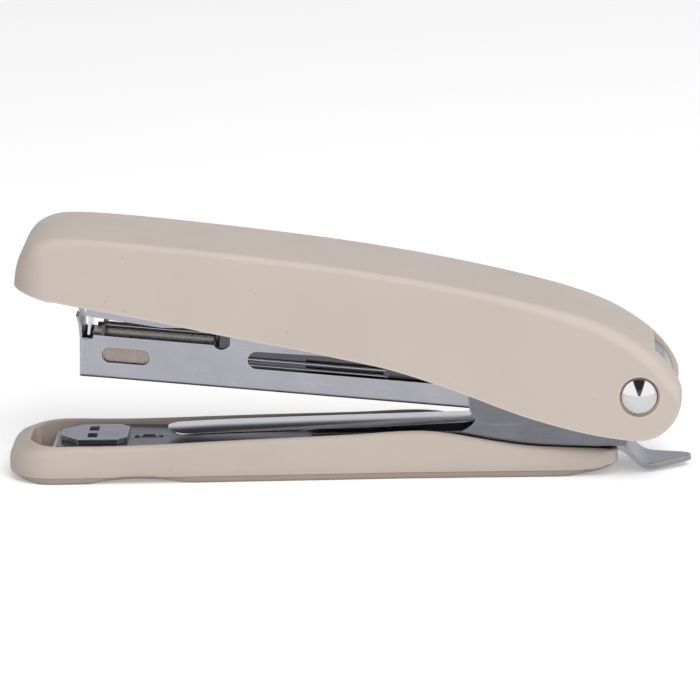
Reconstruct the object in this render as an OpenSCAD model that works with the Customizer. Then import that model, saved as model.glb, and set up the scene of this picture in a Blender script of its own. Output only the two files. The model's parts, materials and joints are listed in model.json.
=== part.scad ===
// Compact hand stapler for No. 10 staples, with a staple remover tab at the back.
// Millimetres. +Z is up, the nose points to -X and the remover tab to +X.
// The origin is on the flat underside, on the middle plane, hinge_x ahead of the hinge axis.
// Outlines are drawn in the hinge frame: X from the hinge axis, Z from the desk.
// Magazine parts are drawn in the magazine frame: u along the channel and v up, both from the
// hinge axis, tilted nose up by mag_tilt.

/* [Hinge] */
// Distance from the middle of the resting face back to the hinge axis
hinge_x = 52; // [48:1:56]
// Height of the hinge axis above the desk
hinge_z = 15.65; // [15.6:0.05:15.7]
// Nose-up angle of the magazine when nobody presses it
mag_tilt = 5.44; // [5.4:0.02:5.5]
// Radius of the hinge pin
pin_r = 2; // [1.8:0.1:2.2]
// Radius of the polished dome heads on the hinge pin
dome_r = 3.4; // [3.2:0.1:3.6]
// Height of the dome heads
dome_h = 1.75; // [1.5:0.05:2]

/* [Top cover] */
// Width of the top cover
cover_w = 24; // [23.6:0.2:25]
// Wall thickness of the top cover
cover_wall = 1.5; // [1.3:0.1:1.7]
// Corner radius of the nose seen from above
cover_nose_r = 7; // [5:0.5:8]
// Width of the slot in the back of the cover
cover_slot_w = 15; // [14.8:0.2:15.6]
// Width of the clip pegs that hold the cover on the handle frame
clip_w = 1.2; // [1:0.1:1.4]

/* [Base] */
// Width of the base at the front
base_front_w = 22; // [21:0.5:22.5]
// Width of the base at the back
base_rear_w = 16; // [15.8:0.1:16.2]
// Wall thickness of the base cover
base_wall = 1.4; // [1.2:0.1:1.5]
// Corner radius of the base's nose seen from above
base_nose_r = 8; // [6:0.5:9]
// Height of the top of the steel floor plate
floor_z = 6.05; // [6:0.05:6.1]
// Thickness of the frame's steel sheet
frame_t = 0.8; // [0.7:0.1:0.8]

/* [Magazine] */
// Outside width of the magazine channel
mag_w = 10.6; // [10.5:0.1:10.6]
// Thickness of the magazine's steel sheet
mag_t = 0.5; // [0.4:0.1:0.5]
// Depth of the channel's underside below the hinge axis
mag_bottom = 6.48; // [6.4:0.02:6.5]
// Height of the channel's full sides above the hinge axis
mag_top = 5; // [4.5:0.1:5]
// Height of the lowered part of the sides, over the staples
mag_low_top = 1.3; // [1.2:0.1:1.4]
// Radius of the rod that guides the pusher
rod_r = 0.6; // [0.5:0.1:0.6]

/* [Staples] */
// Outside width of a staple's crown
crown_w = 8.8; // [8.6:0.1:8.9]
// Thickness of the staple wire
wire_t = 0.5; // [0.45:0.05:0.5]
// Length of a staple's legs
leg_h = 5; // [4.8:0.1:5]
// Length of the loaded strip
strip_l = 21.7; // [10:0.1:21.7]

/* [Hidden] */
$fn = 64;

run_gap = 0.05;                    // radial clearance of a part that turns or slides
far = 200;                         // reach of a cutter that passes right through
cut = 0.1;                         // overshoot of a cutter past a face

mag_in = mag_w / 2 - mag_t;        // half width inside the channel
ear_in = mag_w / 2 + 0.1;          // half width inside the base frame's ears
ear_out = ear_in + frame_t;
handle_in = ear_out + 0.2;         // half width inside the handle frame
handle_out = handle_in + frame_t;
ear_r = 5.5;                       // rounded top of the ears, about the hinge axis
ear_front_x = -28.2;               // upright front edge of the ears
ear_fillet = 4.5;                  // rounded inner corner below that edge
wrap_r = 6.6;                      // rounded back of the handle frame, about the hinge axis
wrap_end = 8;                      // angle at which the rounded back ends, above level
boss_r = 5.2;                      // hinge bosses inside the cover
head_seat = 0.4;                   // depth of the seat of a dome head in the cover's side

base_nose_x = -112.2;
base_rear_x = -3.7;
foot_z = 1.2;                      // top of the inset foot band
foot_inset = 0.6;
tray_z = 1.8;                      // inside bottom of the base cover
rib_t = 1.2;

floor_front_x = -103.5;
floor_half = 9;                    // half width of the floor plate at the front

anvil_front_x = -103;
anvil_rear_x = -91;
anvil_half = 5.4;
anvil_z = 7;                       // top of the anvil
crimp_x = -97.3;                   // the line on which the staple is driven
crimp_r = 1.95;                    // curl radius of the two crimp grooves
crimp_w = 1.7;
crimp_y = 2.35;

cover_nose_x = -110.1;
slot_front_x = 2.8;                // front edge of the slot in the cover's back

mag_front_u = -98.9;               // front of the magazine channel
drive_u = -97.8;                   // middle plane of the driver blade
blade_t = 0.5;
blade_half = 4.2;
blade_bottom = 1;
blade_top = 14.5;
rail_half = crown_w / 2 - wire_t - 0.1;
crown_v = 0.9;                     // top of the loaded staples
rail_v = crown_v - wire_t - 0.05;
rail_front_u = -97;
rail_rear_u = -22;
strip_front_u = -97.3;

rod_v = 2.2;
rod_front_u = -95.6;
rod_rear_u = -23.4;
bridge_u = -95.2;
bracket_u = -24.2;
coil_r = 1.1;                      // radius of the spring's coil, to the middle of the wire
coil_wire_r = 0.25;
coil_turns = 14;

pusher_front_u = strip_front_u + strip_l + 0.2;
pusher_l = 16.4;
pusher_in = rail_half + 0.2;
pusher_out = pusher_in + 0.6;
pusher_end_u = -44.2;              // back end of the pusher's side strips
tab_t = 0.6;

web_slope = 15.6;                  // slope of the handle frame's web over the handle spring
leaf_t = 0.5;                      // thickness of both leaf springs
leaf_half = 4.5;
leaf_root_x = -13;

// Top of the cover in side view, from the nose over the hump and round the back.
cover_top_keys = [[-110.1, 35.7], [-109.5, 39.1], [-108.2, 42.3], [-105.9, 44.4], [-101, 45.2],
    [-87, 43.95], [-69, 41.75], [-51, 39.2], [-33.2, 35.95], [-17.1, 32.2], [-6.4, 28.8],
    [0.7, 24.7], [5.1, 20.6], [7.4, 16.6], [7.3, 13.5]];
// Lower edge of the cover, from the back to the nose.
cover_edge_keys = [[6.3, 11.3], [4.6, 9.3], [2.4, 8], [0, 7.6], [-3, 7.9], [-7.2, 8.6],
    [-11.6, 9.6], [-16, 10.9], [-20.4, 12.3], [-24.8, 14], [-29.2, 15.8], [-33.6, 17.5],
    [-38, 19.1], [-44.4, 21.2], [-51, 22.7], [-59.8, 24.7], [-73, 27.4], [-86, 30.3],
    [-98, 32.7], [-106.5, 34.5]];
// Rim of the base cover in side view, from the nose to the back.
base_rim_keys = [[-112.2, 2.8], [-111.7, 4.3], [-110.6, 5.6], [-108.5, 6.5], [-104, 6.9],
    [-90, 6.9], [-68.8, 7.65], [-51, 8.2], [-42, 8.65], [-37, 8.6], [-32, 7.9], [-26.6, 6.85],
    [-20, 5.8], [-13.3, 5.35], [-4.6, 5]];
// Half width of the base cover along its length.
base_half_keys = [[-104, base_front_w / 2], [-83, 10.3], [-65, 9.6], [-51, 9], [-38, 8.5],
    [base_rear_x, base_rear_w / 2]];
// Top face of the web of the handle frame, from the hinge to the nose.
web_keys = [[0.5, 22.18], [-8, 23.6], [-20, 27], [-40, 32.6], [-60, 36.6], [-80, 39.2],
    [-97.1, 40.6]];
// Top face of the return spring, from its root to its tip.
leaf_keys = [[leaf_root_x, 10.1], [-20, 10.05], [-30, 9.75], [-45, 9.35], [-60, 8.95],
    [-75, 8.5], [-83.9, 8.05]];

function bend(a, b, c, d, t) = ((2 * b) + (c - a) * t + (2 * a - 5 * b + 4 * c - d) * t * t
    + (3 * b - a - 3 * c + d) * t * t * t) / 2;
function last(p) = len(p) - 1;
// A smooth curve through the key points p, with n steps between neighbours.
function curve(p, n) = concat(
    [for (i = [0 : last(p) - 1], j = [0 : n - 1])
        bend(p[max(i - 1, 0)], p[i], p[i + 1], p[min(i + 2, last(p))], j / n)],
    [p[last(p)]]);
// The curve moved sideways by d, to the right of its direction.
function beside(p, d) = [for (i = [0 : last(p)])
    let (t = p[min(i + 1, last(p))] - p[max(i - 1, 0)]) p[i] + d * [t[1], -t[0]] / norm(t)];
function reversed(p) = [for (i = [last(p) : -1 : 0]) p[i]];
function mirrored(p) = [for (i = [last(p) : -1 : 0]) [p[i][0], -p[i][1]]];
function arc(cx, cy, r, a0, a1, n) = [for (i = [0 : n])
    let (a = a0 + (a1 - a0) * i / n) [cx + r * cos(a), cy + r * sin(a)]];

module hinge_frame() translate([hinge_x, 0, 0]) children();
module magazine_frame() translate([hinge_x, 0, hinge_z]) rotate([0, mag_tilt, 0]) children();
// A side view, drawn in X and Z, made w thick across the middle plane.
module across(w) rotate([90, 0, 0]) linear_extrude(height = w, center = true) children();
// The same side view once on each side, between y0 and y1 from the middle plane.
module both_sides(y0, y1) for (s = [-1, 1]) translate([0, s * (y0 + y1) / 2, 0])
    across(y1 - y0) children();
module cross_rod(r, l) rotate([90, 0, 0]) cylinder(r = r, h = l, center = true);
module box_between(a, b) translate(a) cube(b - a);
module slot_2d(u0, u1, v0, v1) {
    r = (v1 - v0) / 2;
    for (u = [u0 + r, u1 - r]) translate([u, v0 + r]) circle(r = r);
    translate([u0 + r, v0]) square([u1 - u0 - 2 * r, v1 - v0]);
}
// A strip of sheet of thickness t under the curve p.
module strip_2d(p, t) polygon(concat(p, reversed(beside(p, t))));

module cover_plan(inset) {
    h = cover_w / 2 - inset;
    r = cover_nose_r - inset;
    side = concat([[20, h]], arc(cover_nose_x + cover_nose_r, h - r, r, 90, 180, 8));
    polygon(concat(side, mirrored(side)));
}

module base_plan(inset) {
    r = base_nose_r - inset;
    h = base_front_w / 2 - inset;
    sides = curve(reversed(base_half_keys), 4);
    side = concat([for (p = sides) [p[0] - (p[0] == base_rear_x ? inset : 0), p[1] - inset]],
        arc(base_nose_x + base_nose_r, h - r, r, 90, 180, 8));
    polygon(concat(side, mirrored(side)));
}

module base_profile() polygon(concat(curve(base_rim_keys, 3),
    [[base_rear_x, 4.6], [base_rear_x, 2.9], [-4.7, 2], [-7, 1.1], [-13, 0], [-106, 0],
    [-109.4, 0.7], [-111.5, 1.5]]));

module base_cover() color([0.8, 0.76, 0.72]) hinge_frame() difference() {
    intersection() {
        across(base_front_w) base_profile();
        union() {
            translate([0, 0, foot_z]) linear_extrude(height = 10) base_plan(0);
            linear_extrude(height = foot_z) base_plan(foot_inset);
        }
    }
    // Arch under the nose
    translate([-89, 0, -44.5]) cross_rod(45.4, far);
    // Inside of the tray, left standing as ribs under the steel floor
    difference() {
        translate([0, 0, tray_z]) linear_extrude(height = 10) base_plan(base_wall);
        for (x = [-104.5, -88, -70, -52, -34, -18])
            box_between([x, -far, 0], [x + rib_t, far, floor_z - frame_t]);
    }
    // Room for the steel frame and for the remover tab through the back wall
    box_between([-6.3, -ear_out - run_gap, 4.1], [0, ear_out + run_gap, 12]);
}

module ear_2d() {
    translate([0, hinge_z]) circle(r = ear_r);
    polygon([[-35, 8], [ear_front_x, 8], [ear_front_x, 17.4], [ear_front_x + 1.2, 18.2],
        [-4, 20.4], [3, 11], [-1.2, 8.2], [-2.2, floor_z - frame_t], [-60, floor_z - frame_t],
        [-60, 6.4], [-57.5, 7.9]]);
    // Rounded inner corner in front of the ear
    difference() {
        translate([ear_front_x - ear_fillet, 7.9]) square([ear_fillet + 0.1, ear_fillet]);
        translate([ear_front_x - ear_fillet, 7.9 + ear_fillet]) circle(r = ear_fillet);
    }
}

module base_frame() color([0.55, 0.55, 0.6]) hinge_frame() difference() {
    union() {
        translate([0, 0, floor_z - frame_t]) linear_extrude(height = frame_t) {
            side = [[-2.2, ear_out], [-44, ear_out], [-60, 7.6], [-100.5, floor_half],
                [floor_front_x, floor_half - 3]];
            polygon(concat(side, mirrored(side)));
        }
        both_sides(ear_in, ear_out) ear_2d();
        // Raised bead on each ear
        both_sides(ear_out - cut, ear_out + 0.12) slot_2d(-25.6, -22.4, 9.4, 17);
    }
    translate([0, 0, hinge_z]) cross_rod(pin_r, far);
    // Oval dimple in the floor between the anvil and the return spring
    translate([-87.4, 0, floor_z - 0.3]) linear_extrude(height = 1) slot_2d(-2.6, 2.6, -1.6, 1.6);
}

module anvil() color([0.6, 0.62, 0.68]) hinge_frame() difference() {
    translate([0, 0, floor_z]) linear_extrude(height = anvil_z - floor_z) {
        side = [[anvil_rear_x, anvil_half - 1.6], [anvil_rear_x - 1.6, anvil_half],
            [anvil_front_x + 3.2, anvil_half], [anvil_front_x, anvil_half - 3.2]];
        polygon(concat(side, mirrored(side)));
    }
    // Two curled grooves that turn the staple's legs inwards
    for (s = [-1, 1]) translate([crimp_x, s * crimp_y, anvil_z + crimp_r - 0.55])
        rotate([0, 90, 0]) cylinder(r = crimp_r, h = crimp_w, center = true);
}

module remover_2d() strip_2d([[-15, floor_z - frame_t], [-2.6, floor_z - frame_t], [-1.9, 4.7],
    [1.1, 1.75], [2, 1.5], [9.5, 2.1]], 1);

module staple_remover() color([0.72, 0.72, 0.78]) hinge_frame() difference() {
    intersection() {
        across(2 * ear_out) remover_2d();
        linear_extrude(height = 10) {
            side = concat([[-15, 4]], [[-9, 5.4], [1.6, 5.4]], arc(7.9, 0, 1.6, 68, 0, 6));
            polygon(concat(side, mirrored(side)));
        }
    }
    for (y = [-2.6, 2.6]) translate([-12, y, 0]) cylinder(r = 0.8, h = 10);
}

module remover_rivets() color([0.75, 0.75, 0.78]) hinge_frame() for (y = [-2.6, 2.6]) {
    translate([-12, y, floor_z - frame_t - 1]) cylinder(r = 0.8, h = 1);
    translate([-12, y, floor_z - frame_t - 1.5]) cylinder(r = 1.3, h = 0.5);
}

module dome_2d() intersection() {
    r = (dome_r * dome_r + dome_h * dome_h) / (2 * dome_h);
    translate([0, dome_h - r]) circle(r = r);
    square([dome_r, dome_h]);
}

dome_y = cover_w / 2 - head_seat + run_gap;   // inner face of a dome head

module pivot_pin() color([0.85, 0.85, 0.85]) translate([hinge_x, 0, hinge_z]) {
    translate([0, -dome_y, 0]) rotate([90, 0, 0]) rotate_extrude() dome_2d();
    cross_rod(pin_r, 2 * dome_y);
}

module pivot_cap() color([0.85, 0.85, 0.85]) translate([hinge_x, dome_y, hinge_z])
    rotate([-90, 0, 0]) rotate_extrude() dome_2d();

module channel_side_2d() difference() {
    union() {
        circle(r = ear_r - 0.1);
        polygon([[mag_front_u, -mag_bottom], [mag_front_u, 0.6], [-96.9, 0.6], [-96.9, mag_low_top],
            [-72.7, mag_low_top], [-72.7, mag_top], [-6, mag_top], [-3, 4], [-3, -mag_bottom]]);
    }
    // Rounded notch where the low side meets the full side
    translate([-74.2, 2.1]) circle(r = 1.55);
    // Window over the staples and the long slot beside the pusher
    slot_2d(-95.2, -86.6, -3.47, -0.65);
    slot_2d(-69.3, -26, -2.4, 0.75);
}

module magazine_channel() color([0.68, 0.68, 0.73]) magazine_frame() difference() {
    union() {
        both_sides(mag_in, mag_w / 2) channel_side_2d();
        box_between([mag_front_u, -mag_in - cut, -mag_bottom], [-3, mag_in + cut, mag_t - mag_bottom]);
    }
    // Slot through which the staple leaves
    box_between([mag_front_u + 0.45, -mag_in, -10], [rail_front_u, mag_in, -mag_bottom + 1]);
    cross_rod(pin_r + run_gap, far);
}

module nose_plate() color([0.72, 0.72, 0.76]) magazine_frame() translate([mag_front_u, 0, 0]) {
    t = 0.45;
    across(2 * mag_in) polygon([[0, mag_t - mag_bottom], [t, mag_t - mag_bottom], [0, 0.6],
        [-t, 0.6]]);
    // Two lips that flare forward at the top
    both_sides(0.9, mag_in) polygon([[-t, 0.5], [0, 0.5], [-0.2, 2.6], [-0.95, 4.3], [-1.4, 4.5],
        [-0.8, 2.8]]);
}

module staple_rail() color([0.5, 0.5, 0.54]) magazine_frame() {
    v0 = mag_t - mag_bottom;
    both_sides(rail_half - mag_t, rail_half) translate([rail_front_u, v0])
        square([rail_rear_u - rail_front_u, rail_v - v0]);
    box_between([rail_front_u, -rail_half, rail_v - mag_t], [rail_rear_u, rail_half, rail_v]);
    // Foot by which the rail is riveted to the channel's floor
    box_between([rail_rear_u - cut, -rail_half, v0], [-14, rail_half, v0 + mag_t]);
}

module rail_rivets() color([0.7, 0.7, 0.72]) magazine_frame() for (y = [-2, 2])
    translate([-19.5, y, 2 * mag_t - mag_bottom]) cylinder(r1 = 1, r2 = 0.8, h = 0.5);

module rod_bridge() color([0.7, 0.7, 0.74]) magazine_frame() difference() {
    box_between([bridge_u - mag_t / 2, -mag_w / 2, mag_low_top],
        [bridge_u + mag_t / 2, mag_w / 2, rod_v + rod_r + 0.5]);
    translate([bridge_u, 0, rod_v]) rotate([0, 90, 0]) cylinder(r = rod_r, h = 2, center = true);
}

module guide_rod() color([0.78, 0.78, 0.8]) magazine_frame() translate([rod_front_u, 0, rod_v])
    rotate([0, 90, 0]) cylinder(r = rod_r, h = rod_rear_u - rod_front_u);

module rod_bracket() color([0.6, 0.6, 0.65]) magazine_frame() difference() {
    union() {
        box_between([bracket_u, -mag_in, rail_v], [bracket_u + tab_t, mag_in, 4.2]);
        both_sides(mag_in - tab_t, mag_in) translate([bracket_u, rail_v]) square([4, 3]);
    }
    translate([bracket_u, 0, rod_v]) rotate([0, 90, 0]) cylinder(r = rod_r, h = 4, center = true);
}

module staple_strip() color([0.75, 0.75, 0.78]) magazine_frame()
    translate([strip_front_u, 0, 0]) difference() {
        box_between([0, -crown_w / 2, crown_v - leg_h], [strip_l, crown_w / 2, crown_v]);
        box_between([-cut, wire_t - crown_w / 2, -far],
            [strip_l + cut, crown_w / 2 - wire_t, crown_v - wire_t]);
    }

module pusher() color([0.62, 0.62, 0.66]) magazine_frame() difference() {
    back_u = pusher_front_u + pusher_l;
    union() {
        both_sides(pusher_in, pusher_out) {
            translate([pusher_front_u, -3.9]) square([pusher_l, 3.9 + crown_v]);
            // Square lugs that show in the channel's notch
            translate([pusher_front_u + 0.9, 0]) square([2.2, 3.3]);
            // Side strips behind the saddle, ending in a tab turned down
            translate([back_u - cut, 0]) square([pusher_end_u - back_u, crown_v]);
            translate([pusher_end_u - 0.9, -2.3]) square([0.9, 2.3 + crown_v]);
        }
        box_between([pusher_front_u, -pusher_out, rail_v + run_gap],
            [back_u, pusher_out, crown_v]);
        // Upright tabs that slide on the guide rod
        for (u = [pusher_front_u, back_u - tab_t])
            box_between([u, -2, crown_v - cut], [u + tab_t, 2, 3.8]);
    }
    translate([pusher_front_u - 1, 0, rod_v]) rotate([0, 90, 0])
        cylinder(r = rod_r + run_gap, h = pusher_l + 2);
    // Long groove pressed in each side
    for (s = [-1, 1]) translate([pusher_front_u + 4, s * pusher_out, -0.7])
        cube([2 * pusher_l, 0.4, 0.9], center = true);
}

module pusher_spring() color([0.7, 0.7, 0.7]) magazine_frame() {
    u0 = pusher_front_u + pusher_l + 0.05;
    l = bracket_u - 0.05 - u0;
    translate([u0, 0, rod_v]) rotate([0, 90, 0])
        linear_extrude(height = l, twist = 360 * coil_turns, slices = 12 * coil_turns, $fn = 8)
            translate([coil_r, 0]) circle(r = coil_wire_r);
}

module return_spring() color([0.8, 0.8, 0.84]) hinge_frame() difference() {
    intersection() {
        across(2 * leaf_half) strip_2d(reversed(curve(leaf_keys, 3)), leaf_t);
        linear_extrude(height = 20) {
            tip_r = 3.6;
            tip_x = leaf_keys[last(leaf_keys)][0];
            side = concat([[leaf_root_x, 3.2], [-28, 3.6], [-45, leaf_half]],
                arc(tip_x + tip_r, leaf_half - tip_r, tip_r, 90, 180, 8));
            polygon(concat(side, mirrored(side)));
        }
    }
    for (y = [-1.7, 1.7]) translate([leaf_root_x - 2.5, y, 0]) cylinder(r = 0.8, h = 20);
}

module spring_rivets() color([0.75, 0.75, 0.78]) hinge_frame() for (y = [-1.7, 1.7])
    translate([leaf_root_x - 2.5, y, 0]) {
        translate([0, 0, 9.1]) cylinder(r = 0.8, h = 1);
        translate([0, 0, 9.1]) cylinder(r = 1.2, h = 0.4);
    }

module handle_side_2d() {
    translate([0, hinge_z]) circle(r = wrap_r);
    polygon(concat(curve(web_keys, 3), [[-97.7, 40.6], [-97.7, 31.7], [-84, 28.7], [-76, 28.2],
        [-50, 23], [-33, 17.6], [-20, 13.4], [-8, 9.8], [-2, 8.9]]));
}

module handle_frame() color([0.66, 0.66, 0.71]) hinge_frame() difference() {
    union() {
        both_sides(handle_in, handle_out) handle_side_2d();
        across(2 * handle_out) strip_2d(curve(web_keys, 3), -frame_t);
        // Rounded back that joins the two sides behind the hinge
        across(2 * handle_out) translate([0, hinge_z]) intersection() {
            difference() {
                circle(r = wrap_r);
                circle(r = wrap_r - frame_t);
            }
            polygon(concat([[0, 0]], arc(0, 0, 2 * wrap_r, wrap_end, 95, 4)));
        }
        front_wall();
    }
    translate([0, 0, hinge_z]) cross_rod(pin_r + run_gap, far);
    // Slots for the clip pegs of the cover
    for (s = [-1, 1]) box_between([-95, s * handle_out - 1, 31.9], [-93.6, s * handle_out + 1, 34.4]);
}

// Front wall of the handle frame, in the magazine frame, that carries the driver
module front_wall() translate([0, 0, hinge_z]) rotate([0, mag_tilt, 0])
    box_between([drive_u + blade_t / 2, -handle_in - cut, 9.5],
        [drive_u + blade_t / 2 + frame_t, handle_in + cut, blade_top + 0.7]);

module driver() color([0.8, 0.8, 0.82]) magazine_frame()
    box_between([drive_u - blade_t / 2, -blade_half, blade_bottom],
        [drive_u + blade_t / 2, blade_half, blade_top]);

module driver_rivets() color([0.75, 0.75, 0.78]) magazine_frame() for (y = [-2, 2])
    translate([drive_u - blade_t / 2, y, 12]) rotate([0, -90, 0])
        cylinder(r1 = 1, r2 = 0.8, h = 0.5);

// Height of the web's top face at x
function web_z(x) = lookup(x, curve(web_keys, 3));

module handle_spring() color([0.7, 0.7, 0.75]) hinge_frame() {
    under = frame_t / cos(web_slope) + 0.15;
    across(10) strip_2d(curve(concat([for (x = [-25 : -2 : -35]) [x, web_z(x) - under]],
        [[-39, 31], [-45, 30], [-52, 28.2], [-58, 27.1], [-62, 27.4]]), 3), -leaf_t);
}

module handle_spring_rivet() color([0.75, 0.75, 0.78]) hinge_frame()
    translate([-31, 0, web_z(-31)]) rotate([0, web_slope, 0])
        translate([0, 0, -frame_t - leaf_t - 0.7]) cylinder(r = 1.4, h = 0.5);

module cover_outer() intersection() {
    across(cover_w) polygon(concat(curve(cover_top_keys, 4), curve(cover_edge_keys, 3)));
    linear_extrude(height = 60) cover_plan(0);
}

module cover_hollow() intersection() {
    inner = beside(curve(cover_top_keys, 4), cover_wall);
    across(cover_w - 2 * cover_wall)
        polygon(concat(inner, [[inner[last(inner)][0], 0], [inner[0][0], 0]]));
    linear_extrude(height = 60) cover_plan(cover_wall);
}

module top_cover() color([0.8, 0.76, 0.72]) hinge_frame() difference() {
    union() {
        difference() {
            cover_outer();
            cover_hollow();
        }
        // Bosses that hold the cover square on the hinge pin
        translate([0, 0, hinge_z]) both_sides(handle_out + run_gap, cover_w / 2 - 1)
            circle(r = boss_r);
        // Clip pegs that snap into the handle frame
        both_sides(handle_out - 0.4, cover_w / 2 - 1) translate([-94.9, 33])
            square([clip_w, 1.3]);
    }
    // Slot in the back, open downwards, so the cover clears the remover tab
    box_between([slot_front_x, -cover_slot_w / 2, -cut], [far, cover_slot_w / 2, 60]);
    // Room for the rounded back of the handle frame
    translate([0, 0, hinge_z]) cross_rod(wrap_r + run_gap, 2 * handle_out + 2 * run_gap);
    translate([0, 0, hinge_z]) cross_rod(pin_r + run_gap, far);
    // Seats for the dome heads
    for (s = [-1, 1]) translate([0, s * (cover_w / 2 + 1 - head_seat), hinge_z])
        cross_rod(dome_r + run_gap, 2);
}

base_cover();
base_frame();
anvil();
staple_remover();
remover_rivets();
pivot_pin();
pivot_cap();
magazine_channel();
nose_plate();
staple_rail();
rail_rivets();
rod_bridge();
guide_rod();
rod_bracket();
staple_strip();
pusher();
pusher_spring();
return_spring();
spring_rivets();
handle_frame();
driver();
driver_rivets();
handle_spring();
handle_spring_rivet();
top_cover();
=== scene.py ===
"""Looks of a compact hand stapler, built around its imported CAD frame.

Lengths in the builders are millimetres in the row frame; new_piece() turns them into metres.
Places are read from the frame: a ray cast on a CAD node gives the outline that its shell follows.
"""

import json
import math

import bmesh
import bpy
import numpy as np
from mathutils import Matrix, Vector
from mathutils.bvhtree import BVHTree


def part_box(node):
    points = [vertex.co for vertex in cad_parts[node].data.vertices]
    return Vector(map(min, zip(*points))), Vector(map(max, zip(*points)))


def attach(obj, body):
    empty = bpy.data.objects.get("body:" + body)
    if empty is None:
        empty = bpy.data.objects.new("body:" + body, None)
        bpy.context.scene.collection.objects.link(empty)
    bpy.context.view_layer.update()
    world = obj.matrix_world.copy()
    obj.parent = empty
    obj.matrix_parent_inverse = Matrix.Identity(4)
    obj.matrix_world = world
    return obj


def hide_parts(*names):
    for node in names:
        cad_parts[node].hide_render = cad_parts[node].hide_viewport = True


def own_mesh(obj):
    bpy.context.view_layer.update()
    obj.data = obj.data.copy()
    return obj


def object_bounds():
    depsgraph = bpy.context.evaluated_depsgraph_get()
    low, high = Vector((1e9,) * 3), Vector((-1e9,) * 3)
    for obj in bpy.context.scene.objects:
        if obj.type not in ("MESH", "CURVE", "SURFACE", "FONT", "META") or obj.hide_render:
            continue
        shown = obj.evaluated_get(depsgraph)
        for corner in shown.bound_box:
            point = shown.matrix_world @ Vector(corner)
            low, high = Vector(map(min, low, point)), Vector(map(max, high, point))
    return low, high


MM = 0.001
FAR = 300.0

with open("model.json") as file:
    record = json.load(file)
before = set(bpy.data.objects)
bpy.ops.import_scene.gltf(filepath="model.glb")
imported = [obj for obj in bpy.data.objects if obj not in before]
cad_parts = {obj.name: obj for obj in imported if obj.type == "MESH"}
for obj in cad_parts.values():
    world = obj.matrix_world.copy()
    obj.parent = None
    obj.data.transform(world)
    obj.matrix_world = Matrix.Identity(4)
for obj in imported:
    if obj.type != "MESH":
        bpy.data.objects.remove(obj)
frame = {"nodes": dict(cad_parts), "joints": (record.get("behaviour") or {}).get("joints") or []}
cad_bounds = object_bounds()
scene = bpy.context.scene


# ---------------------------------------------------------------- frame helpers


def joint(name):
    return next(j for j in frame["joints"] if j["name"] == name)


HINGE = Vector(joint("magazine_pivot")["pos_m"]) / MM
SLIDE = Vector(joint("pusher_slide")["axis"])
UPRIGHT = Vector((-SLIDE.z, 0, SLIDE.x))


def box_mm(node):
    low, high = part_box(node)
    return low / MM, high / MM


def magazine_span(node):
    """Least and greatest place of a CAD node along the magazine, then square to it, from the hinge."""
    points = [v.co / MM - HINGE for v in frame["nodes"][node].data.vertices]
    lengthwise = [p.dot(SLIDE) for p in points]
    upwards = [p.dot(UPRIGHT) for p in points]
    return min(lengthwise), max(lengthwise), min(upwards), max(upwards)


def in_magazine(u, y, v):
    """The point u along the magazine and v square to it, counted from the hinge."""
    return HINGE + SLIDE * u + UPRIGHT * v + Vector((0, y, 0))


def cad_tree(node):
    """A search tree of a CAD node's mesh, in millimetres."""
    mesh = frame["nodes"][node].data
    points = [v.co / MM for v in mesh.vertices]
    return BVHTree.FromPolygons(points, [tuple(p.vertices) for p in mesh.polygons])


def hit(tree, start, direction):
    return tree.ray_cast(Vector(start), Vector(direction).normalized(), 2 * FAR)[0]


def from_above(tree, x, y):
    found = hit(tree, (x, y, FAR), (0, 0, -1))
    return None if found is None else found.z


def from_below(tree, x, y):
    found = hit(tree, (x, y, -FAR), (0, 0, 1))
    return None if found is None else found.z


def half_width(tree, x, z):
    found = hit(tree, (x, -FAR, z), (0, 1, 0))
    return None if found is None else -found.y


def along(a, b, count):
    return [a + (b - a) * i / (count - 1) for i in range(count)]


def smoothed(points, passes):
    """The same open path with its small corners rounded; both ends stay."""
    p = np.array(points, float)
    for _ in range(passes):
        p[1:-1] = 0.25 * p[:-2] + 0.5 * p[1:-1] + 0.25 * p[2:]
    return p


def sideways(path):
    """Unit vectors to the right of a path in a plane."""
    step = np.gradient(np.array(path, float), axis=0)
    step /= np.linalg.norm(step, axis=1)[:, None]
    return np.stack([step[:, 1], -step[:, 0]], axis=1)


def path_length(path):
    steps = np.linalg.norm(np.diff(np.array(path, float), axis=0), axis=1)
    return np.concatenate([[0.0], np.cumsum(steps)])


# ---------------------------------------------------------------- mesh helpers


def new_piece(name, body, vertices, faces, material, replaces=(), smooth_angle=35):
    mesh = bpy.data.meshes.new(name)
    mesh.from_pydata([Vector(v) * MM for v in vertices], [], faces)
    bm = bmesh.new()
    bm.from_mesh(mesh)
    bmesh.ops.remove_doubles(bm, verts=bm.verts, dist=1e-7)
    bmesh.ops.dissolve_degenerate(bm, edges=bm.edges, dist=1e-8)
    bmesh.ops.recalc_face_normals(bm, faces=bm.faces)
    bm.to_mesh(mesh)
    bm.free()
    return dress(mesh, name, body, material, replaces, smooth_angle)


def dress(mesh, name, body, material, replaces=(), smooth_angle=35):
    mesh.shade_smooth()
    mesh.set_sharp_from_angle(angle=math.radians(smooth_angle))
    piece = bpy.data.objects.new(name, mesh)
    scene.collection.objects.link(piece)
    mesh.materials.clear()
    mesh.materials.append(material)
    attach(piece, body)
    if replaces:
        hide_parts(*replaces)
    return piece


def bevel(piece, width, segments=2, angle=40):
    modifier = piece.modifiers.new("edge_round", "BEVEL")
    modifier.width = width * MM
    modifier.segments = segments
    modifier.limit_method = "ANGLE"
    modifier.angle_limit = math.radians(angle)
    modifier.use_clamp_overlap = True
    modifier.harden_normals = False


def weighted(piece):
    modifier = piece.modifiers.new("even_normals", "WEIGHTED_NORMAL")
    modifier.keep_sharp = True


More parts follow.
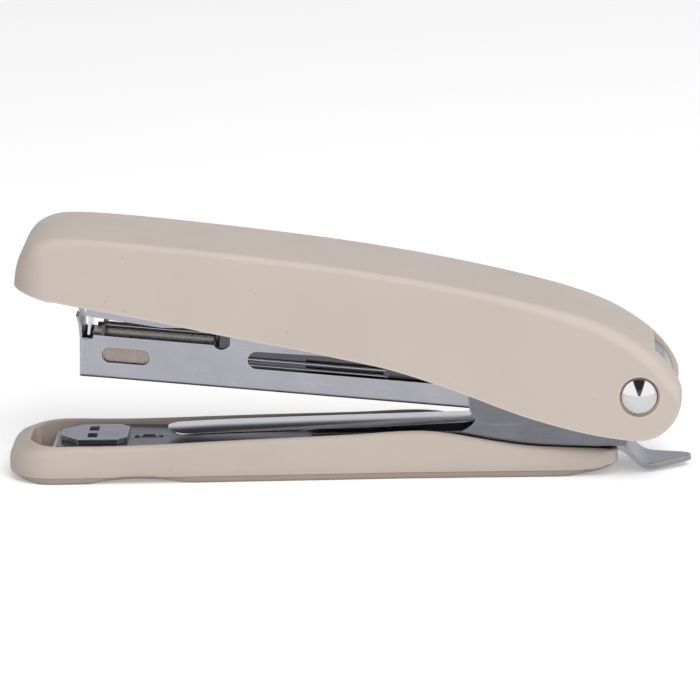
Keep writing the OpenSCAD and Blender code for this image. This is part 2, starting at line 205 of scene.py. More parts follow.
def mirror_y(vertices, faces):
    """A half body at negative Y and its mirror image."""
    count = len(vertices)
    other = [(x, -y, z) for x, y, z in vertices]
    turned = [tuple(i + count for i in reversed(f)) for f in faces]
    return list(vertices) + other, list(faces) + turned


def grid_faces(rows, columns, start=0, skip=()):
    out = []
    for i in range(rows - 1):
        for j in range(columns - 1):
            if (i, j) in skip:
                continue
            a = start + i * columns + j
            out.append((a, a + 1, a + columns + 1, a + columns))
    return out


BOX_FACES = [(0, 1, 3, 2), (4, 6, 7, 5), (0, 4, 5, 1), (2, 3, 7, 6), (0, 2, 6, 4), (1, 5, 7, 3)]


def box_mesh(low, high):
    corners = [(x, y, z) for x in (low[0], high[0]) for y in (low[1], high[1])
               for z in (low[2], high[2])]
    return corners, BOX_FACES


def tube_y(centre, radius_in, radius_out, y0, y1, sides=64):
    """A ring about a line along Y."""
    v, f = [], []
    for i in range(sides):
        a = 2 * math.pi * i / sides
        for r, y in ((radius_in, y0), (radius_out, y0), (radius_out, y1), (radius_in, y1)):
            v.append((centre.x + r * math.cos(a), y, centre.z + r * math.sin(a)))
    for i in range(sides):
        n = (i + 1) % sides
        for j in range(4):
            k = (j + 1) % 4
            f.append((4 * i + j, 4 * i + k, 4 * n + k, 4 * n + j))
    return v, f


def add_part(vertices, faces, part):
    start = len(vertices)
    vertices.extend(part[0])
    faces.extend(tuple(start + i for i in f) for f in part[1])


def sweep(points, radius, sides=12, square=0.0):
    """A wire along a path, round or with a squarish section."""
    p = [Vector(q) for q in points]
    v, f = [], []
    side = Vector((0, 1, 0))
    for i, q in enumerate(p):
        step = (p[min(i + 1, len(p) - 1)] - p[max(i - 1, 0)]).normalized()
        side = (side - step * side.dot(step)).normalized()
        up = step.cross(side)
        for k in range(sides):
            a = 2 * math.pi * k / sides
            r = radius * (1 + square * math.sin(2 * a) ** 2)
            v.append(tuple(q + r * (side * math.cos(a) + up * math.sin(a))))
    for i in range(len(p) - 1):
        for k in range(sides):
            n = (k + 1) % sides
            f.append((i * sides + k, i * sides + n, (i + 1) * sides + n, (i + 1) * sides + k))
    f.append(tuple(reversed(range(sides))))
    f.append(tuple(range((len(p) - 1) * sides, len(p) * sides)))
    return v, f


# ---------------------------------------------------------------- materials


def node_material(name):
    material = bpy.data.materials.new(name)
    material.use_nodes = True
    return material, material.node_tree.nodes, material.node_tree.links


def noise(nodes, links, coords, scale, detail=3.0, rough=0.5, stretch=None):
    source = coords
    if stretch:
        mapping = nodes.new("ShaderNodeMapping")
        mapping.inputs["Scale"].default_value = stretch
        links.new(coords, mapping.inputs["Vector"])
        source = mapping.outputs["Vector"]
    texture = nodes.new("ShaderNodeTexNoise")
    texture.inputs["Scale"].default_value = scale
    texture.inputs["Detail"].default_value = detail
    texture.inputs["Roughness"].default_value = rough
    links.new(source, texture.inputs["Vector"])
    return texture.outputs["Fac"]


def ramp(nodes, links, value, stops):
    node = nodes.new("ShaderNodeValToRGB")
    elements = node.color_ramp.elements
    while len(elements) < len(stops):
        elements.new(0.5)
    for element, (place, colour) in zip(elements, stops):
        element.position = place
        element.color = (*colour, 1.0)
    links.new(value, node.inputs["Fac"])
    return node.outputs["Color"]


def grey(value):
    return (value, value, value)


def mix(nodes, links, factor, a, b, mode="MIX"):
    node = nodes.new("ShaderNodeMix")
    node.data_type = "RGBA"
    node.blend_type = mode
    for socket, item in ((node.inputs[0], factor), (node.inputs[6], a), (node.inputs[7], b)):
        if isinstance(item, (int, float)):
            socket.default_value = item
        elif isinstance(item, tuple):
            socket.default_value = (*item, 1.0)
        else:
            links.new(item, socket)
    return node.outputs[2]


def edge_wear_and_highlight(nodes, links, reach=0.3):
    """White along the edges, where a rounded normal leaves the surface's own. On the plastics this is a
    painted highlight along their rounded edges; on the metals it makes the edges brighter.
    """
    rounded = nodes.new("ShaderNodeBevel")
    rounded.samples = 3
    rounded.inputs["Radius"].default_value = reach * MM
    agree = nodes.new("ShaderNodeVectorMath")
    agree.operation = "DOT_PRODUCT"
    links.new(rounded.outputs["Normal"], agree.inputs[0])
    links.new(nodes.new("ShaderNodeNewGeometry").outputs["Normal"], agree.inputs[1])
    return ramp(nodes, links, agree.outputs["Value"], [(0.86, grey(1)), (0.985, grey(0))])


TRAPPED_SHADE = (0.50, 0.36, 0.26)


def moulded_plastic(name, colour, edge_highlight_colour, roughness=0.34):
    """Satin moulded plastic: fine orange peel, faint specks, a painted highlight along the edges and
    painted warm shade in corners.
    """
    material, nodes, links = node_material(name)
    shader = nodes["Principled BSDF"]
    coords = nodes.new("ShaderNodeTexCoord").outputs["Object"]
    cloud = noise(nodes, links, coords, 45.0, 3.0)
    lighter = tuple(min(1.0, c * 1.025) for c in colour)
    darker = tuple(c * 0.965 for c in colour)
    base = ramp(nodes, links, cloud, [(0.3, darker), (0.7, lighter)])
    speck = noise(nodes, links, coords, 900.0, 1.0)
    speck_mask = ramp(nodes, links, speck, [(0.785, grey(0)), (0.81, grey(0.55))])
    base = mix(nodes, links, speck_mask, base, tuple(c * 0.55 for c in colour))
    hair = noise(nodes, links, coords, 260.0, 2.0, stretch=(0.12, 1.0, 2.2))
    hair_mask = ramp(nodes, links, hair, [(0.70, grey(0)), (0.74, grey(0.12))])
    base = mix(nodes, links, hair_mask, base, tuple(c * 0.8 for c in colour))
    # Painted highlight: a paler beige along the rounded edges
    base = mix(nodes, links, edge_wear_and_highlight(nodes, links, 0.8), base, edge_highlight_colour)
    trapped = nodes.new("ShaderNodeAmbientOcclusion")
    trapped.inputs["Distance"].default_value = 5 * MM
    trapped.samples = 8
    shade = ramp(nodes, links, trapped.outputs["AO"], [(0.05, TRAPPED_SHADE), (0.5, grey(1.0))])
    base = mix(nodes, links, 1.0, base, shade, "MULTIPLY")
    links.new(base, shader.inputs["Base Color"])
    rough = ramp(nodes, links, noise(nodes, links, coords, 120.0, 4.0),
                 [(0.3, grey(roughness - 0.05)), (0.7, grey(roughness + 0.06))])
    links.new(rough, shader.inputs["Roughness"])
    shader.inputs["IOR"].default_value = 1.49
    shader.inputs["Subsurface Weight"].default_value = 0.04
    shader.inputs["Subsurface Radius"].default_value = (0.8 * MM, 0.5 * MM, 0.35 * MM)
    peel = noise(nodes, links, coords, 1400.0, 2.0)
    bump = nodes.new("ShaderNodeBump")
    bump.inputs["Strength"].default_value = 0.05
    bump.inputs["Distance"].default_value = 0.05 * MM
    links.new(peel, bump.inputs["Height"])
    links.new(bump.outputs["Normal"], shader.inputs["Normal"])
    return material


def sheet_metal(name, colour, roughness, grain=(0.06, 1.0, 1.0), grain_depth=0.1, cloudy=0.08):
    """Plated steel sheet: rolled grain along its length, cloudy plating, scuffs and bright edges."""
    material, nodes, links = node_material(name)
    shader = nodes["Principled BSDF"]
    shader.inputs["Metallic"].default_value = 1.0
    coords = nodes.new("ShaderNodeTexCoord").outputs["Object"]
    cloud = noise(nodes, links, coords, 110.0, 5.0, 0.6)
    darker = tuple(c * (1 - cloudy) for c in colour)
    lighter = tuple(min(1.0, c * (1 + cloudy)) for c in colour)
    base = ramp(nodes, links, cloud, [(0.3, darker), (0.72, lighter)])
    scuff = noise(nodes, links, coords, 700.0, 4.0, 0.7, stretch=(0.25, 1.0, 1.0))
    base = mix(nodes, links, ramp(nodes, links, scuff, [(0.66, grey(0)), (0.8, grey(0.35))]),
               base, tuple(c * 0.7 for c in colour))
    bright = tuple(min(1.0, c * 1.25 + 0.05) for c in colour)
    base = mix(nodes, links, edge_wear_and_highlight(nodes, links), base, bright)
    links.new(base, shader.inputs["Base Color"])
    streak = noise(nodes, links, coords, 1500.0, 3.0, 0.6, stretch=grain)
    rough = ramp(nodes, links, streak,
                 [(0.25, grey(max(0.02, roughness * 0.75))), (0.75, grey(roughness * 1.3))])
    links.new(rough, shader.inputs["Roughness"])
    bump = nodes.new("ShaderNodeBump")
    bump.inputs["Strength"].default_value = grain_depth
    bump.inputs["Distance"].default_value = 0.02 * MM
    links.new(streak, bump.inputs["Height"])
    links.new(bump.outputs["Normal"], shader.inputs["Normal"])
    return material


COVER_BEIGE = (0.600, 0.520, 0.466)
# Painted highlight colour for the plastics' rounded edges
EDGE_HIGHLIGHT_BEIGE = (0.70, 0.625, 0.57)
cover_plastic = moulded_plastic("cover_plastic", COVER_BEIGE, EDGE_HIGHLIGHT_BEIGE)
BASE_BEIGE = tuple(c * 0.97 for c in COVER_BEIGE)
base_plastic = moulded_plastic("base_plastic", BASE_BEIGE, EDGE_HIGHLIGHT_BEIGE, 0.38)
plated_steel = sheet_metal("plated_steel", (0.50, 0.50, 0.555), 0.30)
frame_steel = sheet_metal("frame_steel", (0.24, 0.245, 0.275), 0.26, cloudy=0.14)
handle_steel = sheet_metal("handle_steel", (0.50, 0.50, 0.55), 0.13)
dark_steel = sheet_metal("dark_steel", (0.13, 0.13, 0.145), 0.30)
anvil_steel = sheet_metal("anvil_steel", (0.42, 0.44, 0.50), 0.22)
chrome = sheet_metal("chrome", (0.80, 0.80, 0.82), 0.06, (1, 1, 1), 0.02, 0.02)
spring_steel = sheet_metal("spring_steel", (0.93, 0.93, 0.96), 0.12, (0.05, 1, 1), 0.06, 0.05)
remover_steel = sheet_metal("remover_steel", (0.40, 0.405, 0.44), 0.16, (0.3, 1, 1), 0.05, 0.05)
staple_wire = sheet_metal("staple_wire", (0.40, 0.36, 0.325), 0.28, (1, 1, 0.1), 0.08, 0.06)


# ---------------------------------------------------------------- top cover

COVER_WALL = 1.2
SLOT_HALF = 7.5
NOSE_FAN = 8.5
COVER_CROWN = 0.3
ARC_STEPS = 7
REAR_END = -34
REAR_TAPER = 24.0
SEAT_DEPTH = 0.4
SEAT_GAP = 0.2
BORE_RADIUS = 2.05
BOSS_RADIUS = 4.6
PEG_Z = 33
PEG_HEIGHT = 1.3
PEG_LENGTH = 1.2


def outline_hit(tree, centre, angle, y):
    direction = Vector((math.cos(angle), 0, math.sin(angle)))
    start = Vector((centre[0], y, centre[1])) + direction * 150
    found = hit(tree, start, -direction)
    return (found.x, found.z)


def cover_path(tree, low, high):
    """The cover's top in side view, from the nose's lower edge round the back to its lower edge."""
    fan = (low.x + NOSE_FAN, high.z - NOSE_FAN)
    nose_z = from_below(tree, low.x + 0.3, 0) + 0.15
    first = math.atan2(nose_z - fan[1], low.x - fan[0]) % (2 * math.pi)
    nose = [outline_hit(tree, fan, a, 0) for a in along(first, math.pi / 2, 34)]
    rear_x = HINGE.x - 6
    top = [(x, from_above(tree, x, 0)) for x in along(fan[0], rear_x, 60)[1:-1]]
    start = math.atan2(from_above(tree, rear_x, 0) - HINGE.z, -6)
    rear = []
    for a in along(start, math.radians(REAR_END), 56):
        back = Vector(outline_hit(tree, (HINGE.x, HINGE.z), a, -9.5))
        side = Vector(outline_hit(tree, (HINGE.x, HINGE.z), a, -high.y + 0.1))
        share = min(1.0, max(0.0, (math.degrees(a) - REAR_END) / REAR_TAPER))
        rear.append(tuple(side + (back - side) * share ** 0.7))
    return smoothed(nose + top + rear, 6)


def edge_radius(path):
    """Radius of the cover's edge along its top: wide round the nose, slim on top, a bevel behind."""
    length = path_length(path)
    x = path[:, 0] - HINGE.x
    angle = np.degrees(np.arctan2(path[:, 1] - HINGE.z, x))
    nose_end = length[np.argmax(path[:, 0] > path[:, 0].min() + NOSE_FAN)]

    def at_x(value):
        return length[np.argmax(x > value)]

    def at_angle(value):
        return length[np.argmax((x > -8) & (angle < value))]

    knots = [(0, 6.5), (0.5 * nose_end, 4.6), (nose_end, 1.7), (nose_end + 8, 1.25),
             (at_x(-36), 1.3), (at_x(-14), 2.1), (at_angle(80), 2.7), (at_angle(35), 2.8),
             (at_angle(5), 2.6), (at_angle(-18), 1.3), (length[-1], 0.0)]
    places, radii = zip(*knots)
    radius = smoothed(np.interp(length, places, radii)[:, None], 8)[:, 0]
    return np.minimum(radius, 0.05 + 0.35 * (length[-1] - length))


def cover_layer(path, radius, inset):
    """Rows of points of the near half of the cover's skin, moved inwards by inset."""
    normal = sideways(path)
    low, high = box_mm("top_cover")
    half = high.y
    rows = []
    for (x, z), (nx, nz), r in zip(path, normal, radius):
        r_in = max(r - inset, 0.05)
        flat = half - max(r, inset + 0.05)
        slot = min(SLOT_HALF, flat - 0.4)
        bevel_share = 0.45 * min(1.0, max(0.0, (r - 2) / 2)) * (x > HINGE.x - 40)
        row = []
        fade = min(1.0, max(0.0, (x - low.x - 4) / 20))
        for y in (0, 0.5 * slot, slot, flat):
            rise = COVER_CROWN * fade * (1 - (y / flat) ** 2)
            row.append((x + nx * (inset - rise), -y, z + nz * (inset - rise)))
        for k in range(1, ARC_STEPS + 1):
            t = k / ARC_STEPS
            depth = r_in * ((1 - math.cos(t * math.pi / 2)) * (1 - bevel_share) + t * bevel_share)
            out = r_in * (math.sin(t * math.pi / 2) * (1 - bevel_share) + t * bevel_share)
            d = inset + depth
            row.append((x + nx * d, -(flat + out), z + nz * d))
        rows.append(row)
    return rows


def slot_front(tree):
    """X of the front edge of the slot in the cover's back."""
    low, high = HINGE.x - 5, HINGE.x + 8
    for _ in range(30):
        middle = (low + high) / 2
        if from_above(tree, middle, 0) is None:
            high = middle
        else:
            low = middle
    return low


def ring(vertices, radius, y, sides=64):
    """Adds a circle about the hinge, from its top round towards the nose, and returns its indices."""
    start = len(vertices)
    for k in range(sides):
        a = math.pi / 2 + 2 * math.pi * k / sides
        vertices.append((HINGE.x + radius * math.cos(a), y, HINGE.z + radius * math.sin(a)))
    return list(range(start, start + sides))


def holed(vertices, loop, hole):
    """Two faces that fill an outline round a hole. They meet above and below the hinge."""

    def nearest(direction):
        offsets = [Vector((vertices[i][0] - HINGE.x, vertices[i][2] - HINGE.z)) for i in loop]
        return max(range(len(loop)), key=lambda k: offsets[k].normalized().dot(direction))

    top, bottom = nearest(Vector((0, 1))), nearest(Vector((0, -1)))
    order = loop[top:] + loop[:top]
    turn = (bottom - top) % len(loop)
    half = len(hole) // 2
    rear = order[:turn + 1] + hole[half:] + hole[:1]
    nose = order[turn:] + order[:1] + hole[:half + 1]
    return [tuple(rear), tuple(nose)]


def build_cover():
    tree = cad_tree("top_cover")
    low, high = box_mm("top_cover")
    path = cover_path(tree, low, high)
    front = slot_front(tree)
    first = int(np.argmax(path[:, 0] > front))
    share = (front - path[first - 1, 0]) / (path[first, 0] - path[first - 1, 0])
    edge = path[first - 1] + share * (path[first] - path[first - 1])
    path = np.insert(path, first, edge, axis=0)
    radius = edge_radius(path)
    outer = cover_layer(path, radius, 0)
    inner = cover_layer(path, radius, COVER_WALL)
    corner_x = outer[0][-1][0]
    corner_z = from_below(tree, corner_x + 0.8, -high.y + 0.1)
    for layer in (outer, inner):
        nose_x, nose_z = path[0]
        layer[0] = [(x, y, nose_z + (corner_z - nose_z) * min(1.0, (x - nose_x) / (corner_x - nose_x)))
                    for x, y, z in layer[0]]
    rows, columns = len(path), len(outer[0])
    vertices = [p for row in outer for p in row] + [p for row in inner for p in row]
    shift = rows * columns
    open_slot = {(i, j) for i in range(first, rows) for j in (0, 1)}
    faces = grid_faces(rows, columns, 0, open_slot)
    faces += [tuple(reversed(f)) for f in grid_faces(rows, columns, shift, open_slot)]

    def wall(loop):
        for a, b in zip(loop[:-1], loop[1:]):
            faces.append((a, b, b + shift, a + shift))

    wall(list(range(columns)))
    wall([(rows - 1) * columns + j for j in range(2, columns)])
    wall([first * columns + j for j in range(3)])
    wall([i * columns + 2 for i in range(first, rows)])
    # Lower edge of the side, and the flat side itself
    bottom_x, x_start = HINGE.x - 1, outer[0][-1][0] + 0.8
    edge = [outline_hit(tree, (HINGE.x, HINGE.z), a, -high.y + 0.1)
            for a in along(math.radians(REAR_END - 5), math.radians(-97), 14)]
    edge += [(x, from_below(tree, x, -high.y + 0.1)) for x in along(bottom_x - 1, x_start, 90)]
    edge = smoothed(edge, 4)
    side_loop = [i * columns + columns - 1 for i in range(rows)]
    start = len(vertices)
    vertices += [(x, -high.y, z) for x, z in edge]
    vertices += [(x, -high.y + COVER_WALL, z) for x, z in edge]
    count = len(edge)
    outer_edge = list(range(start, start + count))
    inner_edge = list(range(start + count, start + 2 * count))
    # The dome head's seat, and the pin's bore through the wall
    dome_low, dome_high = box_mm("pivot_pin")
    seat_radius = (dome_high.z - dome_low.z) / 2 + SEAT_GAP
    seat = ring(vertices, seat_radius, -high.y)
    seat_floor = ring(vertices, seat_radius, -high.y + SEAT_DEPTH)
    bore = ring(vertices, BORE_RADIUS, -high.y + SEAT_DEPTH)
    bore_end = ring(vertices, BORE_RADIUS, -high.y + COVER_WALL)
    faces += holed(vertices, side_loop + outer_edge, seat)
    faces += holed(vertices, [i + shift for i in side_loop] + inner_edge, bore_end)
    for a, b in ((seat, seat_floor), (seat_floor, bore), (bore, bore_end)):
        faces += [(a[k - 1], a[k], b[k], b[k - 1]) for k in range(len(a))]
    for a, b in zip(outer_edge[:-1], outer_edge[1:]):
        faces.append((a, b, b + count, a + count))
    last, firsts = side_loop[-1], side_loop[0]
    faces.append((last, outer_edge[0], inner_edge[0], last + shift))
    faces.append((outer_edge[-1], firsts, firsts + shift, inner_edge[-1]))
    vertices, faces = mirror_y(vertices, faces)
    piece = new_piece("cover_shell", "handle", vertices, faces, cover_plastic, ("top_cover",))
    for polygon in piece.data.polygons:
        polygon.use_smooth = abs(polygon.normal.y) < 0.9999
    piece.data.set_sharp_from_angle(angle=math.radians(35))
    bevel(piece, 0.22, 3, 50)
    weighted(piece)


def build_cover_details():
    """Hinge bosses and clip pegs inside the cover."""
    frame_low, frame_high = box_mm("handle_frame")
    inside = box_mm("top_cover")[1].y - COVER_WALL + 0.1
    vertices, faces = [], []
    for side in (-1, 1):
        y0, y1 = sorted((side * (frame_high.y + 0.05), side * inside))
        add_part(vertices, faces, tube_y(HINGE, BORE_RADIUS, BOSS_RADIUS, y0, y1))
        y0, y1 = sorted((side * (frame_high.y - 0.4), side * inside))
        x = frame_low.x + 2.3
        peg = box_mesh((x, y0, PEG_Z), (x + PEG_LENGTH, y1, PEG_Z + PEG_HEIGHT))
        add_part(vertices, faces, peg)
    piece = new_piece("cover_bosses", "handle", vertices, faces, cover_plastic)
    bevel(piece, 0.15, 2)


# ---------------------------------------------------------------- base cover

TRAY_FLOOR = 1.8
FOOT_TOP = 1.2
FOOT_INSET = 0.6
REAR_NOTCH = 4.1
REAR_NOTCH_HALF = 6.3
OUTLINE_Z = 3.0
CORNER = 1.5
LIP = 0.35
RIB_HALF = 7.5


def base_path(tree, low, high):
    """Half of the tray's outline seen from above, from the nose round the near side to the back."""
    fan = low.x + 9
    points = []
    for a in along(math.pi, 1.5 * math.pi, 30):
        direction = Vector((math.cos(a), math.sin(a), 0))
        found = hit(tree, Vector((fan, 0, OUTLINE_Z)) + direction * 60, -direction)
        points.append((found.x, found.y))
    for x in along(fan, high.x - CORNER, 70)[1:]:
        points.append((x, -half_width(tree, x, OUTLINE_Z)))
    points = smoothed(points, 5)
    centre = (high.x - CORNER, points[-1][1] + CORNER)
    bend = [(centre[0] + CORNER * math.sin(a), centre[1] - CORNER * math.cos(a))
            for a in along(0, math.pi / 2, 7)[1:]]
    gap = box_mm("staple_remover")[1].y + 0.85
    back = [(high.x, y) for y in (-gap - 0.03, -gap, -gap * 0.5, 0)]
    return np.array(list(map(tuple, points)) + bend + back)


def build_base():
    tree = cad_tree("base_cover")
    low, high = box_mm("base_cover")
    path = base_path(tree, low, high)
    normal = -sideways(path)
    normal[0] = (1, 0)
    normal[-1] = (-1, 0)
    vertices, columns, lift = [], 0, 0.0
    for (x, y), (nx, ny) in zip(path, normal):
        nose = min(1.0, max(0.0, (low.x + 9 - x) / 7))
        round_out, round_up, wall = 1.1 + 2.2 * nose, 1.3 + 2.3 * nose, 1.5 + 2.3 * nose
        probe = min(max(x, low.x + 10), high.x - 1.0)
        ridge = from_above(tree, probe, 0.7 - half_width(tree, probe, OUTLINE_Z)) or 5.2
        if x > high.x - 2.2:
            ridge = REAR_NOTCH if abs(y) < REAR_NOTCH_HALF else max(ridge, 5.0)
            wall, round_out, round_up = 1.2, 0.5, 0.6
        found = from_below(tree, x + nx * 2.2, min(y + ny * 2.2, -0.5))
        lift = max(0.0, found) if found is not None and x < high.x - 0.8 else max(lift, 2.0)
        shoulder = ridge - round_up
        lower = [(1.4, lift), (1.0, lift), (FOOT_INSET + 0.08, lift + 0.25),
                 (FOOT_INSET, max(FOOT_TOP - 0.12, lift + 0.3)),
                 (FOOT_INSET - 0.1, max(FOOT_TOP, lift + 0.35)),
                 (0.18, max(FOOT_TOP + 0.12, lift + 0.5)), (0.0, max(FOOT_TOP + 0.7, lift + 0.9)),
                 (0.0, max(2.8, lift + 1.1))]
        section = [(o, min(z, shoulder - 0.02 * (8 - k))) for k, (o, z) in enumerate(lower)]
        for t in along(0, math.pi / 2, 7):
            section.append((round_out * (1 - math.cos(t)), shoulder + round_up * math.sin(t)))
        for t in along(0, math.pi / 2, 4):
            section.append((wall - LIP * (1 - math.sin(t)), ridge - LIP * (1 - math.cos(t))))
        section.append((wall + 0.1, TRAY_FLOOR))
        row = [(x + nx * o, min(y + ny * o, 0.0), z) for o, z in section]
        row.insert(0, (row[0][0], 0.0, section[0][1]))
        row.append((row[-1][0], 0.0, TRAY_FLOOR))
        columns = len(row)
        vertices += row
    faces = grid_faces(len(path), columns)
    vertices, faces = mirror_y(vertices, faces)
    shell = new_piece("base_shell", "base", vertices, faces, base_plastic, ("base_cover",), 50)
    plate = box_mm("base_frame")[0]
    v, f = box_mesh((plate.x - 1.0, -RIB_HALF, TRAY_FLOOR - 0.1), (plate.x + 0.2, RIB_HALF, plate.z - 0.02))
    rib = new_piece("tray_rib", "base", v, f, base_plastic)
    bevel(rib, 0.2)


# ---------------------------------------------------------------- sprung and bent strips

LEAF_CLEARANCE = 0.3
WEB_GAP = 0.15
ACROSS = 13


def strip_piece(name, node, body, material, stations, crown, thickness, round_edge, shape=None):
    """A bent strip that follows a CAD strip's top, with a crowned section and rounded edges.
    shape(x, z) may give the top another height."""
    tree = cad_tree(node)
    low, high = box_mm(node)
    xs = along(low.x + 0.02, high.x - 0.02, stations)
    rows = []
    middle = [from_above(tree, x, 0) for x in xs]
    tops = smoothed([(x, shape(x, z) if shape else z) for x, z in zip(xs, middle)], 5)
    for (x, z), raw in zip(tops, middle):
        w = half_width(tree, x, raw - 0.5 * thickness) or 0.3
        rows.append((x, z, w))
    widths = smoothed([(r[2],) for r in rows], 2)[:, 0]
    vertices = []
    for (x, z, _), w in zip(rows, widths):
        for y in along(-w, w, ACROSS):
            vertices.append((x, y, z - crown * (y / high.y) ** 2))
    faces = grid_faces(len(rows), ACROSS)
    mesh_piece = new_piece(name, body, vertices, faces, material, (node,))
    if mesh_piece.data.polygons[0].normal.z < 0:
        mesh_piece.data.flip_normals()
    solid = mesh_piece.modifiers.new("thickness", "SOLIDIFY")
    solid.thickness = thickness * MM
    solid.offset = -1
    bevel(mesh_piece, round_edge, 3, 50)
    weighted(mesh_piece)
    return mesh_piece


def pressed_leaf():
    """Heights of the handle's leaf spring, pressed up far enough for the handle to close over it."""
    web = cad_tree("handle_frame")
    closing = math.radians(abs(joint("handle_pivot")["range_deg"][0]))

    def height(x, z):
        pressed = z + (HINGE.x - x) * math.sin(closing) + LEAF_CLEARANCE
        return min(from_below(web, x, 0) - WEB_GAP, pressed)

    return height


# ---------------------------------------------------------------- sheet metal


def refined_copy(node, name, body, material, fold_radius, edge):
    """A CAD sheet part with its outer folds rounded and its cut edges broken."""
    mesh = frame["nodes"][node].data.copy()
    bm = bmesh.new()
    bm.from_mesh(mesh)
    bmesh.ops.remove_doubles(bm, verts=bm.verts, dist=1e-6)
    bmesh.ops.dissolve_limit(bm, angle_limit=math.radians(0.5), verts=bm.verts, edges=bm.edges)
    side = box_mm(node)[1].y
    folds = []
    for e in bm.edges:
        a, b = (v.co / MM for v in e.verts)
        outside = min(abs(a.y), abs(b.y)) > side - 0.05
        flat = [f.normal for f in e.link_faces]
        down = len(flat) == 2 and min(n.z for n in flat) < -0.9 and max(abs(n.y) for n in flat) > 0.9
        if outside and down and (a - b).length > 30:
            folds.append(e)
    if folds:
        bmesh.ops.bevel(bm, geom=folds, offset=fold_radius * MM, segments=6, profile=0.5,
                        affect="EDGES", clamp_overlap=False)
    bm.to_mesh(mesh)
    bm.free()
    mesh.name = name
    piece = dress(mesh, name, body, material, (node,))
    bevel(piece, edge, 2, 35)
    weighted(piece)
    return piece


def finish_node(node, material, edge=0.08):
    """Materials and softened edges for a CAD part whose shape stays as it is."""
    part = frame["nodes"][node]
    part.data.materials.clear()
    part.data.materials.append(material)
    weld = part.modifiers.new("weld", "WELD")
    weld.merge_threshold = 0.001 * MM
    flat = part.modifiers.new("flat", "DECIMATE")
    flat.decimate_type = "DISSOLVE"
    flat.angle_limit = math.radians(0.5)
    bevel(part, edge, 2, 30)
    weighted(part)


# ---------------------------------------------------------------- small parts of the magazine and handle

STAPLE_WIRE = 0.5
FLANGE_LIP = 1.5
FLANGE_LIP_LENGTH = 34
PUSHER_BEADS = (0.26, 0.40)
BEAD_RADIUS = 0.28
FLAP_LENGTH = 1.25
FLAP_THICKNESS = 0.14
SPRING_WIRE = 0.22
SPRING_RADIUS = 1.12
SPRING_TURNS = 16


def build_staples():
    """The strip of glued staples: one bent wire after another."""
    half = box_mm("staple_strip")[1].y
    u0, u1, v0, v1 = magazine_span("staple_strip")
    r = STAPLE_WIRE * 0.5
    vertices, faces = [], []
    for i in range(int((u1 - u0) / STAPLE_WIRE)):
        u = u0 + (i + 0.5) * STAPLE_WIRE
        outline = [(-half + r, v0), (-half + r, v1 - 0.9), (-half + r + 0.12, v1 - 0.45),
                   (-half + 0.75, v1 - r), (0, v1 - r)]
        outline += [(-y, v) for y, v in reversed(outline[:-1])]
        path = [in_magazine(u, y, v) for y, v in outline]
        add_part(vertices, faces, sweep(path, r, 16, 0.38))
    piece = new_piece("staples", "magazine", vertices, faces, staple_wire, ("staple_strip",), 60)


def build_flange_lips():
    """Lower lips of the handle frame's two flanges, just under the cover's edge at the front."""
    tree = cad_tree("handle_frame")
    low, high = box_mm("handle_frame")
    y0, y1 = high.y - 0.78, high.y - 0.02
    vertices, faces = [], []
    for side in (-1, 1):
        start = len(vertices)
        stations = along(low.x + 0.35, low.x + FLANGE_LIP_LENGTH, 24)
        for i, x in enumerate(stations):
            top = from_below(tree, x, side * (y0 + y1) / 2) + 0.2
            depth = 0.25 + FLANGE_LIP * (1 - i / (len(stations) - 1))
            for y, z in ((y0, top), (y1, top), (y1, top - depth), (y0, top - depth)):
                vertices.append((x, side * y, z))
        for i in range(len(stations) - 1):
            for k in range(4):
                n = (k + 1) % 4
                a, b = start + 4 * i, start + 4 * i + 4
                faces.append((a + k, a + n, b + n, b + k))
        faces += [(start, start + 1, start + 2, start + 3)]
        end = start + 4 * (len(stations) - 1)
        faces += [(end, end + 1, end + 2, end + 3)]
    piece = new_piece("flange_lips", "handle", vertices, faces, plated_steel)
    bevel(piece, 0.1, 2)


def build_pusher_beads():
    """Two rolled beads along each side of the pusher, seen through the channel's long slots."""
    u0, u1, v0, v1 = magazine_span("pusher")
    side = box_mm("pusher")[1].y
    vertices, faces = [], []
    for y in (-side, side):
        for share in PUSHER_BEADS:
            v = v0 + (v1 - v0) * share
            path = [in_magazine(u, y, v) for u in along(u0 + 0.6, u1 - 0.6, 4)]
            add_part(vertices, faces, sweep(path, BEAD_RADIUS, 12))
    piece = new_piece("pusher_beads", "pusher", vertices, faces, handle_steel)


def build_nose_flaps():
    """The nose plate's two narrow flaps, folded back over the channel's front corners."""
    u0, _, v0, _ = magazine_span("magazine_channel")
    side = box_mm("magazine_channel")[1].y
    vertices, faces = [], []
    for y in (-side, side):
        out = math.copysign(FLAP_THICKNESS, y)
        corners = [(u, v) for u in (u0 + 0.1, u0 + FLAP_LENGTH) for v in (v0 + 0.5, 0.5)]
        start = len(vertices)
        for depth in (0.05 * -out / FLAP_THICKNESS, out):
            vertices += [tuple(in_magazine(u, y + depth, v)) for u, v in corners]
        faces += [tuple(start + k for k in f) for f in BOX_FACES]
    piece = new_piece("nose_flaps", "magazine", vertices, faces, plated_steel)
    bevel(piece, 0.06, 2)


def build_pusher_spring():
    """The coil behind the pusher, built at one length; on the stapler it shortens as the pusher is drawn
    back towards the hinge.
    """
    u0, u1, v0, v1 = magazine_span("pusher_spring")
    v_mid = (v0 + v1) / 2
    path = []
    for t in along(0, 1, SPRING_TURNS * 20 + 1):
        a = 2 * math.pi * SPRING_TURNS * t
        u = u0 + SPRING_WIRE + (u1 - u0 - 2 * SPRING_WIRE) * t
        path.append(in_magazine(u, SPRING_RADIUS * math.cos(a), v_mid + SPRING_RADIUS * math.sin(a)))
    v, f = sweep(path, SPRING_WIRE, 8)
    piece = new_piece("feed_spring", "magazine", v, f, spring_steel, ("pusher_spring",), 60)
    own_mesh(piece)


# ---------------------------------------------------------------- the object

